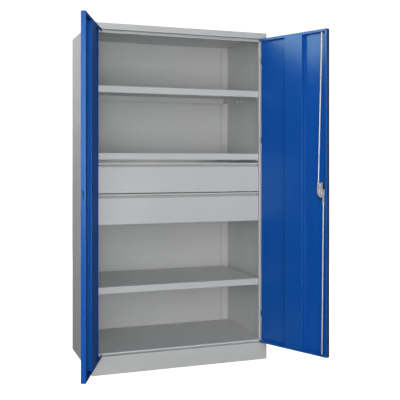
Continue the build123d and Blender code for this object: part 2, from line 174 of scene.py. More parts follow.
def select_where(piece, kind, test):
    """Goes into edit mode with only those points, edges or faces selected that pass the test."""
    bpy.ops.object.mode_set(mode="EDIT")
    bpy.ops.mesh.select_mode(type=kind)
    bpy.ops.mesh.select_all(action="DESELECT")
    bpy.ops.object.mode_set(mode="OBJECT")
    mesh = piece.data
    parts = {"VERT": mesh.vertices, "EDGE": mesh.edges, "FACE": mesh.polygons}[kind]
    found = 0
    for part in parts:
        part.select = bool(test(part))
        found += part.select
    if not found:
        raise RuntimeError("nothing to shape on " + piece.name)
    bpy.ops.object.mode_set(mode="EDIT")


def move_points(piece, test, value):
    """Moves the points whose place passes the test."""
    select_where(piece, "VERT", lambda point: test(point.co))
    bpy.ops.transform.translate(value=value)
    bpy.ops.object.mode_set(mode="OBJECT")


def scale_points(piece, test, value, centre):
    """Scales the points whose place passes the test about a centre."""
    select_where(piece, "VERT", lambda point: test(point.co))
    bpy.ops.transform.resize(value=value, center_override=centre)
    bpy.ops.object.mode_set(mode="OBJECT")


def score_faces(piece, test, spot, normal):
    """Divides the faces that pass the test along a plane."""
    select_where(piece, "FACE", test)
    bpy.ops.mesh.bisect(plane_co=spot, plane_no=normal)
    bpy.ops.object.mode_set(mode="OBJECT")


def turned(name, profile, sides=48, centre=(0.0, 0.0)):
    """A piece as from a lathe: rings of (radius, y) about a line along Y, with its two ends closed."""
    across, up = centre
    radius, at = profile[0]
    deselect()
    bpy.ops.mesh.primitive_circle_add(vertices=sides, radius=radius, fill_type="NGON",
                                      location=(across, at, up), rotation=(math.pi / 2, 0.0, 0.0))
    piece = bpy.context.object
    name_piece(piece, name)
    apply_place()
    bpy.ops.object.mode_set(mode="EDIT")
    bpy.ops.mesh.select_mode(type="EDGE")
    bpy.ops.mesh.select_all(action="SELECT")
    for next_radius, next_at in profile[1:]:
        bpy.ops.mesh.extrude_region_move(TRANSFORM_OT_translate={"value": (0.0, next_at - at, 0.0)})
        ratio = next_radius / radius
        bpy.ops.transform.resize(value=(ratio, 1.0, ratio), center_override=(across, next_at, up))
        radius, at = next_radius, next_at
    bpy.ops.mesh.select_all(action="SELECT")
    bpy.ops.mesh.normals_make_consistent(inside=False)
    bpy.ops.object.mode_set(mode="OBJECT")
    return piece


def boxed(name, low, high):
    """A block between two corners, as a blank to shape or to cut with."""
    deselect()
    middle = [(a + b) / 2 for a, b in zip(low, high)]
    bpy.ops.mesh.primitive_cube_add(size=1.0, location=middle, scale=[b - a for a, b in zip(low, high)])
    piece = bpy.context.object
    name_piece(piece, name)
    apply_place()
    return piece


def combine(piece, other, operation):
    """Adds another shape to a piece or cuts it out, and takes the other shape away."""
    modifier = piece.modifiers.new("combine", "BOOLEAN")
    modifier.operation = operation
    modifier.solver = "EXACT"
    modifier.object = other
    apply_modifiers(piece)
    bpy.data.objects.remove(other, do_unlink=True)
    if not piece.data.polygons:
        raise RuntimeError("nothing is left of " + piece.name)


def drill(piece, radius, start, end, sides=40, centre=(0.0, 0.0)):
    """Cuts a round hole along Y."""
    combine(piece, turned("bore", [(radius, start), (radius, end)], sides, centre), "DIFFERENCE")


def width_at(face, edge):
    """How wide a face is, measured across from the middle of one of its edges."""
    loop = next(item for item in edge.link_loops if item.face == face)
    start, end = loop.vert.co, loop.link_loop_next.vert.co
    middle = (start + end) / 2
    along = (end - start).normalized()
    inward = face.normal.cross(along)
    width = math.inf
    for other in face.edges:
        if other == edge:
            continue
        near, far = (vert.co - middle for vert in other.verts)
        before, after = near.dot(along), far.dot(along)
        if (before > 0) == (after > 0):
            continue
        share = before / (before - after)
        depth = near.dot(inward) * (1 - share) + far.dot(inward) * share
        if depth > 0.001 * MM:
            width = min(width, depth)
    return width


def weigh_folds(piece, sheet, outer, inner):
    """Marks the folds of a sheet for the bevel: full weight outside, less inside, none on cut edges."""
    shape = bmesh.new()
    shape.from_mesh(piece.data)
    weights = shape.edges.layers.float.new("bevel_weight_edge")
    folds = 0
    for edge in shape.edges:
        if len(edge.link_faces) != 2:
            continue
        turn = edge.calc_face_angle_signed(0.0)
        if abs(turn) < FOLD_ANGLE or edge.calc_length() < FOLD_LENGTH * sheet:
            continue
        if min(width_at(face, edge) for face in edge.link_faces) < FOLD_WIDTH * sheet:
            continue
        edge[weights] = 1.0 if turn > 0 else inner / outer
        folds += 1
    shape.to_mesh(piece.data)
    shape.free()
    return folds


def side_of(node):
    """1 for a node on the right, -1 for one on the left."""
    return 1 if node.endswith("right") else -1


def body_of(node):
    """The body that a CAD node belongs to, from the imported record."""
    for body, nodes in frame["record"]["behaviour"]["bodies"].items():
        if node in nodes:
            return body
    raise RuntimeError("the record has no body for " + node)


def clean_copy(node, name, shape):
    """A copy of a CAD node with its doubles merged and its flat faces whole, then shaped for its side."""
    source = frame["nodes"][node]
    piece = bpy.data.objects.new(name, source.data.copy())
    name_piece(piece, name)
    bpy.context.scene.collection.objects.link(piece)
    place(piece, source.matrix_world)
    bpy.ops.mesh.customdata_custom_splitnormals_clear()
    merge_faces(piece, 0.02 * MM, outwards=False)
    if shape:
        shape(piece, side_of(node))
    return piece


def finish_piece(piece, node, slot_name):
    """Gives a piece its material, body and slot, and lets it stand for its CAD node."""
    piece.data.materials.clear()
    piece.data.materials.append(material(SLOT_MATERIALS[slot_name]))
    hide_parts(node)
    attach(piece, body_of(node))


def folded_sheet(node, slot_name, bends, shape=None):
    """A bent-sheet piece: the node's shape with the real bends at its folds."""
    piece = clean_copy(node, node + "_sheet", shape)
    sheet, outer, inner = bends
    if weigh_folds(piece, sheet, outer, inner):
        bend = piece.modifiers.new("bends", "BEVEL")
        bend.limit_method = "WEIGHT"
        bend.offset_type = "OFFSET"
        bend.width = outer
        bend.segments = 4
        bend.use_clamp_overlap = False
        apply_modifiers(piece)
    even_normals(piece)
    finish_piece(piece, node, slot_name)


def machined_piece(node, slot_name, width, shape=None):
    """A solid piece: the node's shape with its sharp edges broken."""
    piece = clean_copy(node, node + "_piece", shape)
    break_edges(piece, width, 2, 40.0)
    even_normals(piece)
    finish_piece(piece, node, slot_name)


def coat_node(node, finish):
    """Puts a material on a CAD node that is shown as it is."""
    for item in frame["nodes"][node].material_slots:
        item.material = finish


def opening_turn(side):
    """The turn of a door from shut to where it stands open at rest."""
    doors = bpy.context.scene.cabinet_doors
    across, back = doors.hinge_line
    angle = doors.right_angle if side > 0 else -doors.left_angle
    hinge = Matrix.Translation(Vector((side * across, back, 0.0)))
    return hinge @ Matrix.Rotation(angle, 4, "Z") @ hinge.inverted()


def fit_to_lock(piece, node, slot_name, angle=SMOOTH_ANGLE):
    """Finishes a piece that was made about the lock, and puts it in the open right door."""
    even_normals(piece, angle)
    place(piece, opening_turn(1) @ Matrix.Translation(bpy.context.scene.cabinet_lock.spindle_place))
    finish_piece(piece, node, slot_name)


def narrow_lip(piece, side):
    """Draws in the lip folded back along a leaf's free edge, and divides that edge where its band of painted shade
    ends.
    """
    doors = bpy.context.scene.cabinet_doors
    opening = opening_turn(side)
    place(piece, opening.inverted())
    move_points(piece, lambda co: abs(abs(co.x) - doors.lip_edge) < NEAR and co.y > doors.lip_place,
                (-side * (doors.lip_edge - doors.lip_seen), 0.0, 0.0))
    edge = min(abs(point.co.x) for point in piece.data.vertices)
    score_faces(piece, lambda face: abs(face.normal.x) > 0.9 and abs(face.center.x) < edge + NEAR,
                (0.0, doors.shade_band_depth, 0.0), (0.0, 1.0, 0.0))
    place(piece, opening)


def paint_edge_shade(piece, side):
    """Paints shade on the outer part of a leaf's free edge: those faces get a second, darker blue that stands in
    for the shade that end face lies in.
    """
    doors = bpy.context.scene.cabinet_doors
    piece.data.materials.append(material("blue_powder_coat_edge"))
    shut = opening_turn(side).inverted()
    turn = shut.to_3x3()
    edge = min(abs((shut @ point.co).x) for point in piece.data.vertices)
    found = 0
    for face in piece.data.polygons:
        centre = shut @ face.center
        facing = -side * (turn @ face.normal).x
        if facing > 0.5 and abs(centre.x) < edge + 2 * MM and centre.y < doors.shade_band_depth:
            face.material_index = 1
            found += 1
    if not found:
        raise RuntimeError("no face for the dark band on " + piece.name)


def step_post(piece, side):
    """Folds the door stop into a post: a low bead, with the wall before it set back as the door's rebate."""
    post = bpy.context.scene.cabinet_post
    sheet = CARCASS_BENDS[0]
    stop, end = post.stop_place, post.stop_place + post.bead_depth

    def on_wall(co, thickness):
        """Whether a place is between the face of the post's inner wall and this depth behind it."""
        return post.inner_face - NEAR < abs(co.x) < post.inner_face + thickness + NEAR

    def before_stop(co):
        """Whether a point of the wall lies before the stop, which is one thickness deeper outside."""
        turn = stop if abs(co.x) < post.inner_face + sheet / 2 else stop + sheet
        return co.y < turn - post.slant / 2

    for cut in (stop - post.slant, stop, stop + sheet - post.slant, stop + sheet, end, end + post.run_out):
        score_faces(piece, lambda face: on_wall(face.center, sheet), (0.0, cut, 0.0), (0.0, 1.0, 0.0))
    move_points(piece, lambda co: on_wall(co, post.front_round) and before_stop(co),
                (side * post.rebate, 0.0, 0.0))
    move_points(piece, lambda co: (on_wall(co, post.front_round) and not before_stop(co)
                                   and co.y < end + post.run_out / 2),
                (-side * post.bead_height, 0.0, 0.0))


def reach_rebate(piece, side):
    """Thickens the hinge plates on a post so that they stand on the wall of the rebate."""
    post = bpy.context.scene.cabinet_post
    move_points(piece, lambda co: abs(abs(co.x) - post.inner_face) < 0.3 * MM, (side * post.rebate, 0.0, 0.0))


class NodeMaterial:
    """A node material under construction, with short ways to add and join its nodes."""

    def __init__(self, name):
        self.material = bpy.data.materials.new(name)
        self.material.use_nodes = True
        self.tree = self.material.node_tree
        self.shader = self.tree.nodes["Principled BSDF"]
        self.place = self.tree.nodes.new("ShaderNodeTexCoord").outputs["Object"]

    def node(self, kind, sources=(), **values):
        """A new node with its values set and its first inputs joined."""
        made = self.tree.nodes.new(kind)
        for key, value in values.items():
            setattr(made, key, value)
        for number, source in enumerate(sources):
            self.tree.links.new(source, made.inputs[number])
        return made

    def drive(self, name, source):
        """Joins a value or a colour to one of the shader's inputs."""
        self.tree.links.new(source, self.shader.inputs[name])

    def set(self, name, value):
        """Sets one of the shader's inputs."""
        self.shader.inputs[name].default_value = value

    def noise(self, scale, detail, roughness=0.5, stretch=None):
        """Noise over the object's own coordinates, stretched if asked."""
        source = self.place
        if stretch:
            mapping = self.node("ShaderNodeMapping", [source])
            mapping.inputs["Scale"].default_value = stretch
            source = mapping.outputs["Vector"]
        made = self.node("ShaderNodeTexNoise", [source])
        made.inputs["Scale"].default_value = scale
        made.inputs["Detail"].default_value = detail
        made.inputs["Roughness"].default_value = roughness
        return made.outputs["Fac"]

    def ramp(self, source, low, high, start=0.3, end=0.7):
        """Colours from low to high along a value."""
        made = self.node("ShaderNodeValToRGB", [source])
        elements = made.color_ramp.elements
        for element, position, colour in zip(elements, (start, end), (low, high)):
            element.position = position
            element.color = (*colour, 1.0)
        return made.outputs["Color"]

    def bump(self, source, strength, distance):
        """A bump from a height."""
        made = self.node("ShaderNodeBump")
        made.inputs["Strength"].default_value = strength
        made.inputs["Distance"].default_value = distance
        self.tree.links.new(source, made.inputs["Height"])
        self.drive("Normal", made.outputs["Normal"])


def grey_level(value):
    """A neutral colour."""
    return (value, value, value)


def shade(colour, factor):
    """The colour made lighter or darker."""
    return tuple(min(1.0, part * factor) for part in colour)


def seam_shadow(made, tone, seam):
    """Paints shade along the fine seams where the side panels' rear flanges end on the back panel: a darker line
    standing in for the shadow in the gap between flange and back.
    """
    last = made.node("ShaderNodeSeparateXYZ", [made.place]).outputs["X"]
    for operation, value in (("ABSOLUTE", 0.0), ("SUBTRACT", seam), ("ABSOLUTE", 0.0)):
        step = made.node("ShaderNodeMath", [last], operation=operation)
        step.inputs[1].default_value = value
        last = step.outputs[0]
    # Painted shade: down to 0.35 of the tone right at the seam, fading out over 2.2 mm
    fade = made.node("ShaderNodeMapRange", [last])
    fade.inputs["From Max"].default_value = 2.2 * MM
    fade.inputs["To Min"].default_value = 0.35
    darken = made.node("ShaderNodeVectorMath", [tone, fade.outputs["Result"]], operation="MULTIPLY")
    return darken.outputs["Vector"]


def grained_coat(name, grain):
    """The ground of a powder coat: fine orange-peel grain, and the noise of its slow drift of tone."""
    made = NodeMaterial(name)
    made.bump(made.noise(650.0, 2.0, 0.55), grain, 0.4 * MM)
    return made, made.noise(2.2, 4.0)


def powder_coat(name, colour, roughness, grain, seam=None):
    """Grey powder coat, with a slight drift of tone and of gloss, and with painted shade along the back's seams if
    asked.
    """
    made, drift = grained_coat(name, grain)
    tone = made.ramp(drift, shade(colour, 0.965), shade(colour, 1.03))
    made.drive("Base Color", seam_shadow(made, tone, seam) if seam else tone)
    gloss = made.noise(9.0, 3.0)
    made.drive("Roughness", made.ramp(gloss, grey_level(roughness - 0.04), grey_level(roughness + 0.05)))
    made.set("Specular IOR Level", 0.45)
    return made.material


def door_coat(name, colour, tint, roughness, grain):
    """The doors' powder coat: glossy seen straight on, and matt seen along the surface by its grain."""
    made, drift = grained_coat(name, grain)
    made.drive("Base Color", made.ramp(drift, shade(colour, 0.975), shade(colour, 1.02)))
    edge_on = made.node("ShaderNodeLayerWeight").outputs["Facing"]
    made.drive("Roughness", made.ramp(edge_on, grey_level(roughness), grey_level(0.85), end=0.75))
    made.set("Specular IOR Level", 0.56)
    made.set("Specular Tint", (*tint, 1.0))
    return made.material


def plated_metal(name, colour, roughness, metallic):
    """Zinc or nickel plate: fine lengthwise rolling marks and small cloudy patches."""
    made = NodeMaterial(name)
    cloud = made.noise(60.0, 4.0, 0.6)
    made.drive("Base Color", made.ramp(cloud, shade(colour, 0.86), shade(colour, 1.1), 0.35, 0.65))
    marks = made.noise(220.0, 3.0, 0.6, stretch=(1.0, 0.06, 1.0))
    made.drive("Roughness", made.ramp(marks, grey_level(roughness - 0.07), grey_level(roughness + 0.1)))
    made.set("Metallic", metallic)
    made.bump(marks, 0.12, 0.2 * MM)
    return made.material


def moulded_plastic(name, colour, roughness):
    """Moulded plastic with a fine spark-eroded grain."""
    made = NodeMaterial(name)
    made.drive("Base Color", made.ramp(made.noise(30.0, 2.0), shade(colour, 0.85), shade(colour, 1.2)))
    gloss = made.noise(140.0, 2.0)
    made.drive("Roughness", made.ramp(gloss, grey_level(roughness - 0.05), grey_level(roughness + 0.08)))
    made.bump(made.noise(1800.0, 2.0, 0.6), 0.25, 0.3 * MM)
    return made.material


def glowing_matt(name, noise, low, high, roughness, glow):
    """A matt surface of the studio that gives a white light of its own."""
    made = NodeMaterial(name)
    made.drive("Base Color", made.ramp(made.noise(*noise), grey_level(low), grey_level(high)))
    made.set("Roughness", roughness)
    made.set("Emission Color", (1.0, 1.0, 1.0, 1.0))
    made.set("Emission Strength", glow)
    return made.material


def material(name):
    """One of the cabinet's materials, built the first time it is asked for."""
    paint, metal = bpy.context.scene.cabinet_paint, bpy.context.scene.cabinet_metal
    doors = (paint.door_tint, paint.door_roughness, paint.grain)
    build, values = {
        "light_grey_powder_coat": (powder_coat, (paint.grey, paint.gloss_roughness, paint.grain)),
        # The back panel's coat, with painted shade along its seams
        "light_grey_powder_coat_back": (
            powder_coat, (paint.grey, paint.gloss_roughness, paint.grain, paint.back_seam)),
        "blue_powder_coat": (door_coat, (paint.blue, *doors)),
        # A darker blue painted on the right door's end face as shade
        "blue_powder_coat_edge": (door_coat, (paint.edge_shade_blue, *doors)),
        "bright_zinc": (plated_metal, (metal.zinc, metal.zinc_roughness, 0.55)),
        "nickel_plate": (plated_metal, (metal.nickel, metal.nickel_roughness, 1.0)),
        "black_plastic": (moulded_plastic, (metal.plastic, metal.plastic_roughness)),
    }[name]
    return bpy.data.materials.get(name) or build(name, *values)


class CabinetPaint(bpy.types.PropertyGroup):
    """Colours and texture of the powder coat, with the darker blue painted as shade on the right door's free edge.
    """

    grey: bpy.props.FloatVectorProperty(
        name="Grey", description="Colour of the carcass, shelves and drawers",
        subtype="COLOR", size=3, min=0.0, max=1.0, default=(0.63, 0.635, 0.63))
    blue: bpy.props.FloatVectorProperty(
        name="Blue", description="Colour of the doors",
        subtype="COLOR", size=3, min=0.0, max=1.0, default=(0.005, 0.092, 0.43))
    # Painted shade: the dark blue on the outer part of the right door's end face
    edge_shade_blue: bpy.props.FloatVectorProperty(
        name="Edge blue", description="Colour of the dark band along the right door's free edge",
        subtype="COLOR", size=3, min=0.0, max=1.0, default=(0.002, 0.012, 0.07))
    door_tint: bpy.props.FloatVectorProperty(
        name="Door gloss", description="Tint of the doors' gloss",
        subtype="COLOR", size=3, min=0.0, max=1.0, default=(0.62, 1.0, 0.85))
    gloss_roughness: bpy.props.FloatProperty(
        name="Roughness", description="Roughness of the grey paint", subtype="FACTOR",
        min=0.0, max=1.0, default=0.4)
    door_roughness: bpy.props.FloatProperty(
        name="Door roughness", description="Roughness of the blue paint", subtype="FACTOR",
        min=0.0, max=1.0, default=0.25)
    grain: bpy.props.FloatProperty(
        name="Grain", description="Strength of the orange-peel grain", subtype="FACTOR",
        min=0.0, max=1.0, default=0.1)
    # Where the lines of painted shade on the back panel lie
    back_seam: bpy.props.FloatProperty(
        name="Back seams", description="How far the seams on the back stand from the middle",
        subtype="DISTANCE", default=0.4783)


class CabinetMetal(bpy.types.PropertyGroup):
    """Colours and gloss of the bare metal and plastic."""

    zinc: bpy.props.FloatVectorProperty(
        name="Zinc", description="Colour of the zinc plate on runners, brackets and lock",
        subtype="COLOR", size=3, min=0.0, max=1.0, default=(0.74, 0.745, 0.75))
    zinc_roughness: bpy.props.FloatProperty(
        name="Zinc roughness", description="Roughness of the zinc plate", subtype="FACTOR",
        min=0.0, max=1.0, default=0.4)
    nickel: bpy.props.FloatVectorProperty(
        name="Nickel", description="Colour of the key plug",
        subtype="COLOR", size=3, min=0.0, max=1.0, default=(0.66, 0.63, 0.58))
    nickel_roughness: bpy.props.FloatProperty(
        name="Nickel roughness", description="Roughness of the key plug", subtype="FACTOR",
        min=0.0, max=1.0, default=0.22)
    plastic: bpy.props.FloatVectorProperty(
        name="Plastic", description="Colour of the handle and the lock housing",
        subtype="COLOR", size=3, min=0.0, max=1.0, default=(0.018, 0.018, 0.02))
    plastic_roughness: bpy.props.FloatProperty(
        name="Plastic roughness", description="Roughness of the handle and the lock housing",
        subtype="FACTOR", min=0.0, max=1.0, default=0.45)


class CabinetPost(bpy.types.PropertyGroup):
    """Sizes of the door stop that is folded into the front posts."""

    inner_face: bpy.props.FloatProperty(
        name="Inner face", description="How far the posts' inner walls stand from the middle",
        subtype="DISTANCE", default=0.498)
    front_round: bpy.props.FloatProperty(
        name="Front round", description="Radius of the fold at the posts' front", subtype="DISTANCE",
        default=0.003)
    stop_place: bpy.props.FloatProperty(
        name="Door stop", description="How far behind the front the door stop stands",
        subtype="DISTANCE", default=0.0344)
    rebate: bpy.props.FloatProperty(
        name="Rebate", description="How far the posts' walls are set back before the door stop",
        subtype="DISTANCE", default=0.003)
    bead_height: bpy.props.FloatProperty(
        name="Bead", description="How far the door stop stands in from the posts' inner walls",
        subtype="DISTANCE", default=0.005)
    bead_depth: bpy.props.FloatProperty(
        name="Bead depth", description="Depth of the door stop", subtype="DISTANCE", default=0.0065)
    slant: bpy.props.FloatProperty(
        name="Slant", description="How much the front of the door stop leans", subtype="DISTANCE",
        default=0.0002)
    run_out: bpy.props.FloatProperty(
        name="Run-out", description="Over what depth the door stop falls back to the wall",
        subtype="DISTANCE", default=0.002)


class CabinetDoors(bpy.types.PropertyGroup):
    """Place of the hinges and sizes of the doors' free edges."""

    hinge_line: bpy.props.FloatVectorProperty(
        name="Hinge", description="Where the right door's hinge line stands", subtype="XYZ", unit="LENGTH",
        size=2, default=right_hinge["pos_m"][:2])
    right_angle: bpy.props.FloatProperty(
        name="Right door", description="How far the right door stands open at rest", subtype="ANGLE",
        default=math.radians(-right_hinge["range_deg"][0]))
    left_angle: bpy.props.FloatProperty(
        name="Left door", description="How far the left door stands open at rest", subtype="ANGLE",
        default=math.radians(-left_hinge["range_deg"][0]))
    lip_edge: bpy.props.FloatProperty(
        name="Lip", description="Where the solids' folded-back lip ends, from the middle of the cabinet",
        subtype="DISTANCE", default=0.027)
    lip_seen: bpy.props.FloatProperty(
        name="Lip seen", description="Where the lip ends in the finished look", subtype="DISTANCE",
        default=0.0155)
    lip_place: bpy.props.FloatProperty(
        name="Lip place", description="How far behind the doors' outer face the lip starts",
        subtype="DISTANCE", default=0.0235)
    # Depth of the band of painted shade on the right door's end face
    shade_band_depth: bpy.props.FloatProperty(
        name="Dark band", description="How deep the dark band on the right door's free edge is",
        subtype="DISTANCE", default=0.012)


class CabinetLock(bpy.types.PropertyGroup):
    """Place of the lock and sizes of its handle."""

    spindle_place: bpy.props.FloatVectorProperty(
        name="Spindle", description="Where the spindle is with the door shut", subtype="XYZ", unit="LENGTH",
        size=3, default=(0.048, 0.0, 1.007))
    grip_half: bpy.props.FloatProperty(
        name="Grip", description="Half the length of the handle's grip", subtype="DISTANCE", default=0.0225)
    grip_width: bpy.props.FloatProperty(
        name="Grip width", description="Width of the grip at its root", subtype="DISTANCE", default=0.015)
    edge_round: bpy.props.FloatProperty(
        name="Edge round", description="Rounding of the handle's edges", subtype="DISTANCE", default=0.0009)


class CabinetStudio(bpy.types.PropertyGroup):
    """Camera, floor and lights."""

    camera_place: bpy.props.FloatVectorProperty(
        name="Camera", description="Place of the camera", subtype="TRANSLATION", unit="LENGTH",
        size=3, default=(-1.321, -3.926, 1.1755))
    camera_turn: bpy.props.FloatProperty(
        name="Turn", description="Turn of the camera to the right of straight ahead", subtype="ANGLE",
        default=0.348)
    lens: bpy.props.FloatProperty(
        name="Lens", description="Focal length in millimetres", min=10.0, max=200.0, default=64.87)
    rise: bpy.props.FloatProperty(
        name="Shift", description="Vertical shift of the lens", default=-0.0935)
    key_power: bpy.props.FloatProperty(
        name="Key light", description="Power of the high light in front", subtype="POWER",
        min=0.0, default=50.0)
    front_power: bpy.props.FloatProperty(
        name="Front light", description="Power of the light beside the camera", subtype="POWER",
        min=0.0, default=55.0)
    low_power: bpy.props.FloatProperty(
        name="Low light", description="Power of the light near the floor in front", subtype="POWER",
        min=0.0, default=85.0)
    side_power: bpy.props.FloatProperty(
        name="Side light", description="Power of the light on the left", subtype="POWER",
        min=0.0, default=20.0)
    box_power: bpy.props.FloatProperty(
        name="Box light", description="Power of the high box on the left that the open door mirrors",
        subtype="POWER", min=0.0, default=28.0)
    right_power: bpy.props.FloatProperty(
        name="Right light", description="Power of the light on the right, away from the photograph's side",
        subtype="POWER", min=0.0, default=60.0)
    back_power: bpy.props.FloatProperty(
        name="Back light", description="Power of the light behind the cabinet", subtype="POWER",
        min=0.0, default=90.0)
    bounce_power: bpy.props.FloatProperty(
        name="Bounce light", description="Power of the strip that stands for light thrown back inside",
        subtype="POWER", min=0.0, default=0.28)
    bright_side: bpy.props.FloatVectorProperty(
        name="Bright side", description="Direction that the brighter half of the room lies in",
        subtype="DIRECTION", size=3, default=(-0.7, -0.7, 0.5))
    bright_glow: bpy.props.FloatProperty(
        name="Bright half", description="Brightness of the room's bright half", min=0.0, default=0.24)
    dim_glow: bpy.props.FloatProperty(
        name="Dim half", description="Brightness of the room's dim half", min=0.0, default=0.07)
    floor_glow: bpy.props.FloatProperty(
        name="Floor glow", description="Brightness of the lit floor by itself", min=0.0, default=1.0)
    floor_tone: bpy.props.FloatProperty(
        name="Floor", description="Tone of the floor", subtype="FACTOR", min=0.0, max=1.0, default=0.5)


class CABINET_OT_stage(bpy.types.Operator):
    """Lays the pale floor, hangs the lights and sets the camera at the photograph's angle"""

    bl_idname = "cabinet.stage"
    bl_label = "Studio"

    floor_size = 80.0
    floor_gap = 0.5 * MM
    wall_radius = 38.0
    wall_height = 40.0
    wall_foot = 0.1

    def finish_surface(self, surface, name, coat):
        """Names and coats a surface of the studio that lights nothing and isn't mirrored."""
        surface.name = name
        apply_place()
        surface.data.materials.append(coat)
        surface.visible_diffuse = False
        surface.visible_glossy = False

    def lay_floor(self, studio):
        """The pale floor, just under the cabinet's feet."""
        deselect()
        bpy.ops.mesh.primitive_plane_add(size=self.floor_size, location=(0.0, 0.0, -self.floor_gap))
        tone = studio.floor_tone
        coat = glowing_matt("pale_floor", (0.8, 3.0), tone * 0.99, tone, 0.8, studio.floor_glow)
        self.finish_surface(bpy.context.object, "studio_floor", coat)

    def hang_wall(self):
        """A round white studio wall, far off on all sides."""
        bpy.ops.mesh.primitive_cylinder_add(vertices=96, radius=self.wall_radius, depth=self.wall_height,
                                            end_fill_type="NOTHING",
                                            location=(0.0, 0.0, self.wall_height / 2 - self.wall_foot))
        wall = bpy.context.object
        bpy.ops.object.mode_set(mode="EDIT")
        bpy.ops.mesh.select_all(action="SELECT")
        bpy.ops.mesh.flip_normals()
        bpy.ops.object.mode_set(mode="OBJECT")
        wall.visible_shadow = False
        paper = glowing_matt("white_paper", (0.05, 2.0), 0.97, 0.98, 0.9, 1.0)
        self.finish_surface(wall, "studio_wall", paper)

    def hang_lights(self, context, studio):
        """Soft boxes around the cabinet and the strip over its drawers, which light and aren't seen."""
        middle = (0.0, 0.1, 0.9)
        for name, power, size, spot, target in (
            ("key_light", studio.key_power, (2.4, 2.4), (-0.8, -4.6, 4.2), middle),
            ("front_light", studio.front_power, (2.0, 2.0), (-1.9, -4.25, 1.6), middle),
            ("low_light", studio.low_power, (2.0, 2.0), (-0.8, -4.6, 0.4), middle),
            ("side_light", studio.side_power, (2.0, 2.0), (-4.0, -2.2, 2.0), middle),
            ("box_light", studio.box_power, (1.46, 1.46), (-2.195, 0.548, 2.745), (0.4, -0.1, 1.7)),
            ("right_light", studio.right_power, (2.5, 2.5), (4.2, 1.8, 2.4), (0.4, 0.3, 1.0)),
            ("back_light", studio.back_power, (3.0, 3.0), (0.6, 5.0, 2.8), (0.0, 0.5, 1.0)),
            ("bounce_light", studio.bounce_power, (0.8, 0.04), (0.0, 0.44, 1.15), (0.0, 0.62, 1.1626)),
        ):
            light = bpy.data.lights.new(name, "AREA")
            light.energy = power
            light.shape = "RECTANGLE"
            light.size, light.size_y = size
            lamp = bpy.data.objects.new(name, light)
            context.scene.collection.objects.link(lamp)
            lamp.location = spot
            lamp.rotation_euler = (Vector(target) - Vector(spot)).to_track_quat("-Z", "Y").to_euler()
            lamp.visible_camera = False

    def light_room(self, context, studio):
        """The room's own light, brighter from one side."""
        world = bpy.data.worlds.new("studio_surround")
        world.use_nodes = True
        tree = world.node_tree
        toward = tree.nodes.new("ShaderNodeTexCoord").outputs["Generated"]
        side = tree.nodes.new("ShaderNodeVectorMath")
        side.operation = "DOT_PRODUCT"
        side.inputs[1].default_value = Vector(studio.bright_side).normalized()
        tree.links.new(toward, side.inputs[0])
        glow = tree.nodes.new("ShaderNodeMapRange")
        glow.interpolation_type = "SMOOTHSTEP"
        glow.inputs["From Min"].default_value = 0.3
        glow.inputs["To Min"].default_value = studio.dim_glow
        glow.inputs["To Max"].default_value = studio.bright_glow
        tree.links.new(side.outputs["Value"], glow.inputs["Value"])
        tree.links.new(glow.outputs["Result"], tree.nodes["Background"].inputs["Color"])
        context.scene.world = world

    def set_camera(self, context, studio):
        """The camera level at the photograph's place, with its lens shifted down."""
        camera = bpy.data.objects.new("studio_camera", bpy.data.cameras.new("studio_camera"))
        context.scene.collection.objects.link(camera)
        camera.location = studio.camera_place
        camera.rotation_euler = (math.pi / 2, 0.0, -studio.camera_turn)
        camera.data.lens = studio.lens
        camera.data.shift_y = studio.rise
        camera.data.clip_end = 100.0
        camera.data.dof.use_dof = False
        context.scene.camera = camera
        context.scene.view_settings.view_transform = "Standard"

    def execute(self, context):
        studio = context.scene.cabinet_studio
        self.lay_floor(studio)
        self.hang_wall()
        self.hang_lights(context, studio)
        self.light_room(context, studio)
        self.set_camera(context, studio)
        return {"FINISHED"}


class CABINET_OT_carcass(bpy.types.Operator):
    """Folds the carcass, the shelves and the drawers and coats them in light grey"""

    bl_idname = "cabinet.carcass"
    bl_label = "Grey carcass, shelves and drawers"

    def execute(self, context):
        # The back panel gets painted shade lines along its seams
        coat_node("back_panel", material("light_grey_powder_coat_back"))
        for node in CARCASS_SHEETS:
            folded_sheet(node, "grey_paint", CARCASS_BENDS, step_post if node.startswith("side") else None)
        for node in DRAWER_SHEETS:
            folded_sheet(node, "grey_paint", DRAWER_BENDS)
        return {"FINISHED"}


class CABINET_OT_doors(bpy.types.Operator):
    """Folds the two doors and their stiffeners and coats them in blue"""

    bl_idname = "cabinet.doors"
    bl_label = "Blue doors"

    def execute(self, context):
        for node in DOOR_SHEETS:
            folded_sheet(node, "blue_paint", DOOR_BENDS, narrow_lip if "leaf" in node else None)
        # Painted shade on the outer part of the right door's end face
        paint_edge_shade(bpy.data.objects["door_leaf_right_sheet"], 1)
        return {"FINISHED"}


class CABINET_OT_hardware(bpy.types.Operator):
    """Finishes the runners, hinges, brackets, cam and rods and plates the steel"""

    bl_idname = "cabinet.hardware"
    bl_label = "Zinc hardware and hinges"

    def execute(self, context):
        coat_node("lock_spindle", material("bright_zinc"))
        for node in RUNNER_SHEETS:
            folded_sheet(node, "zinc", RUNNER_BENDS)
        for node in BRACKET_SHEETS:
            folded_sheet(node, "zinc", BRACKET_BENDS)
        for node in ("cam_plate", "upper_rod", "lower_rod"):
            machined_piece(node, "zinc", 0.4 * MM)
        for node in ("hinge_knuckles_right", "hinge_knuckles_left"):
            machined_piece(node, "blue_paint", 0.3 * MM)
        for node in ("hinge_pins_right", "hinge_pins_left"):
            machined_piece(node, "grey_paint", 0.3 * MM, reach_rebate)
        return {"FINISHED"}


